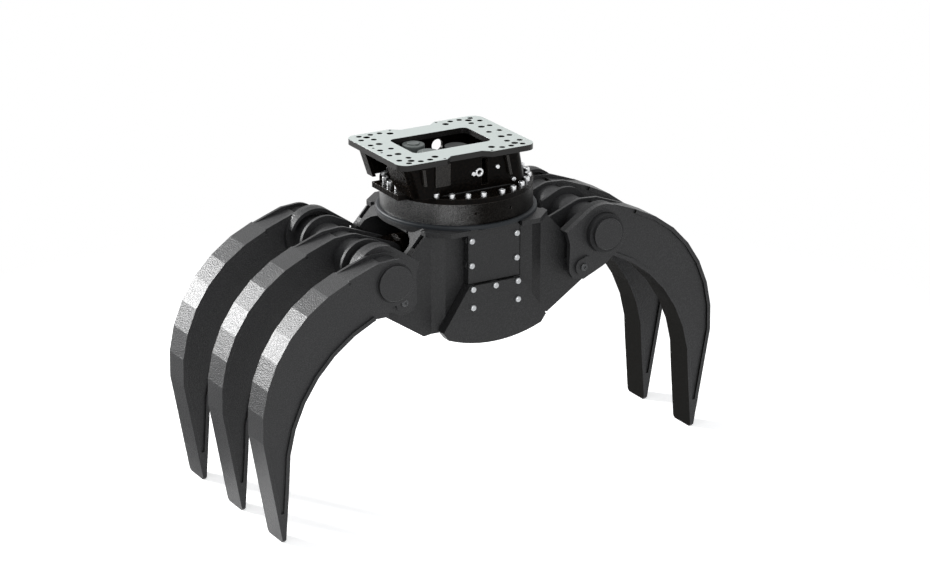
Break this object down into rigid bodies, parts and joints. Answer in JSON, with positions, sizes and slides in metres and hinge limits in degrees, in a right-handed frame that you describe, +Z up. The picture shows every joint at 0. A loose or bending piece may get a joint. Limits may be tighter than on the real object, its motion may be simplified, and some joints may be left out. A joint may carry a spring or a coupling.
{
  "type": "log grapple",
  "caption": "Hydraulic log grapple: slewing adapter over a welded frame, two toothless curved-tine jaws closed by a horizontal cylinder.",
  "frame": {"origin": "centre of the adapter plate's bolt pattern, on the plate's top face", "axes": "+Z up out of the adapter plate, X along the jaws' spread with the two-tine jaw on +X, Y across the jaws"},
  "size_m": [2.044, 0.792, 1.282],
  "materials": {
    "adapter_base_flange": "gloss black paint",
    "adapter_end_walls": "gloss black paint",
    "adapter_plate": "matte light grey-green primer",
    "adapter_side_walls": "gloss black paint",
    "adapter_wall_ribs": "gloss black paint",
    "cover_bolts": "zinc-plated",
    "cylinder_barrel": "fine-grained satin charcoal paint",
    "cylinder_gland": "machined steel",
    "cylinder_piston": "machined steel",
    "cylinder_rod": "machined steel",
    "deck_collar": "fine-grained satin charcoal paint",
    "deck_plate": "fine-grained satin charcoal paint",
    "frame_cross_plates": "fine-grained satin charcoal paint",
    "frame_front_plate": "fine-grained satin charcoal paint",
    "frame_rear_plate": "fine-grained satin charcoal paint",
    "front_drive_pinion": "dark machined steel",
    "front_lower_guard": "fine-grained satin charcoal paint",
    "front_upper_cover": "fine-grained satin charcoal paint",
    "grease_nipples": "zinc-plated",
    "hinge_bushes": "machined steel",
    "hose_fittings": "machined steel",
    "left_jaw_cylinder_pin": "machined steel",
    "left_jaw_front_tine_flanges": "fine-grained satin charcoal paint",
    "left_jaw_front_tine_side_plates": "fine-grained satin charcoal paint",
    "left_jaw_hinge_pins": "machined steel",
    "left_jaw_keeper_bolts": "zinc-plated",
    "left_jaw_keepers": "fine-grained satin charcoal paint",
    "left_jaw_lugs": "fine-grained satin charcoal paint",
    "left_jaw_middle_tine_flanges": "fine-grained satin charcoal paint",
    "left_jaw_middle_tine_side_plates": "fine-grained satin charcoal paint",
    "left_jaw_rear_tine_flanges": "fine-grained satin charcoal paint",
    "left_jaw_rear_tine_side_plates": "fine-grained satin charcoal paint",
    "left_jaw_ribs": "fine-grained satin charcoal paint",
    "left_jaw_tine_tips": "fine-grained satin charcoal paint",
    "left_jaw_torsion_tube": "fine-grained satin charcoal paint",
    "left_jaw_tube_caps": "fine-grained satin charcoal paint",
    "rear_drive_pinion": "dark machined steel",
    "rear_lower_guard": "fine-grained satin charcoal paint",
    "rear_upper_cover": "fine-grained satin charcoal paint",
    "right_jaw_cylinder_pin": "machined steel",
    "right_jaw_front_tine_flanges": "fine-grained satin charcoal paint",
    "right_jaw_front_tine_side_plates": "fine-grained satin charcoal paint",
    "right_jaw_hinge_pins": "machined steel",
    "right_jaw_keeper_bolts": "zinc-plated",
    "right_jaw_keepers": "fine-grained satin charcoal paint",
    "right_jaw_lugs": "fine-grained satin charcoal paint",
    "right_jaw_rear_tine_flanges": "fine-grained satin charcoal paint",
    "right_jaw_rear_tine_side_plates": "fine-grained satin charcoal paint",
    "right_jaw_ribs": "fine-grained satin charcoal paint",
    "right_jaw_tine_tips": "fine-grained satin charcoal paint",
    "right_jaw_torsion_tube": "fine-grained satin charcoal paint",
    "right_jaw_tube_caps": "fine-grained satin charcoal paint",
    "ring_bolts": "zinc-plated",
    "rotary_union_body": "gloss black paint",
    "rotary_union_spindle": "machined steel",
    "shoulder_plates": "fine-grained satin charcoal paint",
    "slew_motors": "satin dark grey-green paint",
    "slewing_gear_ring": "dark machined steel",
    "slewing_outer_ring": "dark machined steel",
    "slewing_rollers": "dark machined steel"
  },
  "bodies": {
    "adapter": {"adapter_base_flange": "adapter_base_flange", "adapter_end_walls": "adapter_end_walls", "adapter_plate": "adapter_plate", "adapter_side_walls": "adapter_side_walls", "adapter_wall_ribs": "adapter_wall_ribs", "grease_nipples": "grease_nipples", "hose_fittings": "hose_fittings", "ring_bolts": "ring_bolts", "rotary_union_body": "rotary_union_body", "slew_motors": "slew_motors", "slewing_outer_ring": "slewing_outer_ring", "slewing_rollers": "slewing_rollers"},
    "frame": {"frame_front_plate": "frame_front_plate", "frame_rear_plate": "frame_rear_plate", "hinge_bushes": "hinge_bushes", "shoulder_plates": "shoulder_plates", "deck_plate": "deck_plate", "deck_collar": "deck_collar", "frame_cross_plates": "frame_cross_plates", "front_upper_cover": "front_upper_cover", "front_lower_guard": "front_lower_guard", "rear_upper_cover": "rear_upper_cover", "rear_lower_guard": "rear_lower_guard", "cover_bolts": "cover_bolts", "slewing_gear_ring": "slewing_gear_ring", "rotary_union_spindle": "rotary_union_spindle"},
    "left_jaw": {"left_jaw_cylinder_pin": "left_jaw_cylinder_pin", "left_jaw_front_tine_flanges": "left_jaw_front_tine_flanges", "left_jaw_front_tine_side_plates": "left_jaw_front_tine_side_plates", "left_jaw_hinge_pins": "left_jaw_hinge_pins", "left_jaw_keeper_bolts": "left_jaw_keeper_bolts", "left_jaw_keepers": "left_jaw_keepers", "left_jaw_lugs": "left_jaw_lugs", "left_jaw_middle_tine_flanges": "left_jaw_middle_tine_flanges", "left_jaw_middle_tine_side_plates": "left_jaw_middle_tine_side_plates", "left_jaw_rear_tine_flanges": "left_jaw_rear_tine_flanges", "left_jaw_rear_tine_side_plates": "left_jaw_rear_tine_side_plates", "left_jaw_ribs": "left_jaw_ribs", "left_jaw_tine_tips": "left_jaw_tine_tips", "left_jaw_torsion_tube": "left_jaw_torsion_tube", "left_jaw_tube_caps": "left_jaw_tube_caps"},
    "right_jaw": {"right_jaw_cylinder_pin": "right_jaw_cylinder_pin", "right_jaw_front_tine_flanges": "right_jaw_front_tine_flanges", "right_jaw_front_tine_side_plates": "right_jaw_front_tine_side_plates", "right_jaw_hinge_pins": "right_jaw_hinge_pins", "right_jaw_keeper_bolts": "right_jaw_keeper_bolts", "right_jaw_keepers": "right_jaw_keepers", "right_jaw_lugs": "right_jaw_lugs", "right_jaw_rear_tine_flanges": "right_jaw_rear_tine_flanges", "right_jaw_rear_tine_side_plates": "right_jaw_rear_tine_side_plates", "right_jaw_ribs": "right_jaw_ribs", "right_jaw_tine_tips": "right_jaw_tine_tips", "right_jaw_torsion_tube": "right_jaw_torsion_tube", "right_jaw_tube_caps": "right_jaw_tube_caps"},
    "cylinder_barrel_body": {"cylinder_barrel": "cylinder_barrel", "cylinder_gland": "cylinder_gland"},
    "cylinder_rod_body": {"cylinder_rod": "cylinder_rod", "cylinder_piston": "cylinder_piston"},
    "front_pinion": {"front_drive_pinion": "front_drive_pinion"},
    "rear_pinion": {"rear_drive_pinion": "rear_drive_pinion"}
  },
  "joints": [
    {"name": "rotate", "type": "hinge", "parent": "adapter", "child": "frame", "pos_m": [0.068, 0, -0.215], "axis": [0, 0, 1], "continuous": true},
    {"name": "left_jaw_hinge", "type": "hinge", "parent": "frame", "child": "left_jaw", "pos_m": [-0.319, 0, -0.493], "axis": [0, -1, 0], "range_deg": [0, 62]},
    {"name": "right_jaw_hinge", "type": "hinge", "parent": "frame", "child": "right_jaw", "pos_m": [0.455, 0, -0.493], "axis": [0, 1, 0], "range_deg": [0, 62]},
    {"name": "barrel_pin", "type": "hinge", "parent": "left_jaw", "child": "cylinder_barrel_body", "pos_m": [-0.247, 0, -0.393], "axis": [0, 1, 0], "range_deg": [0, 62]},
    {"name": "rod_pin", "type": "hinge", "parent": "right_jaw", "child": "cylinder_rod_body", "pos_m": [0.383, 0, -0.393], "axis": [0, -1, 0], "range_deg": [0, 62]},
    {"name": "front_pinion_spin", "type": "hinge", "parent": "adapter", "child": "front_pinion", "pos_m": [-0.08367, -0.05692, -0.215], "axis": [0, 0, 1], "continuous": true},
    {"name": "rear_pinion_spin", "type": "hinge", "parent": "adapter", "child": "rear_pinion", "pos_m": [-0.08367, 0.05692, -0.215], "axis": [0, 0, 1], "continuous": true}
  ],
  "couplings": [
    {"joint": "right_jaw_hinge", "follows": "left_jaw_hinge", "ratio": 1},
    {"joint": "barrel_pin", "follows": "left_jaw_hinge", "ratio": 1},
    {"joint": "rod_pin", "follows": "left_jaw_hinge", "ratio": 1},
    {"joint": "front_pinion_spin", "follows": "rotate", "ratio": 4.375},
    {"joint": "rear_pinion_spin", "follows": "rotate", "ratio": 4.375}
  ]
}
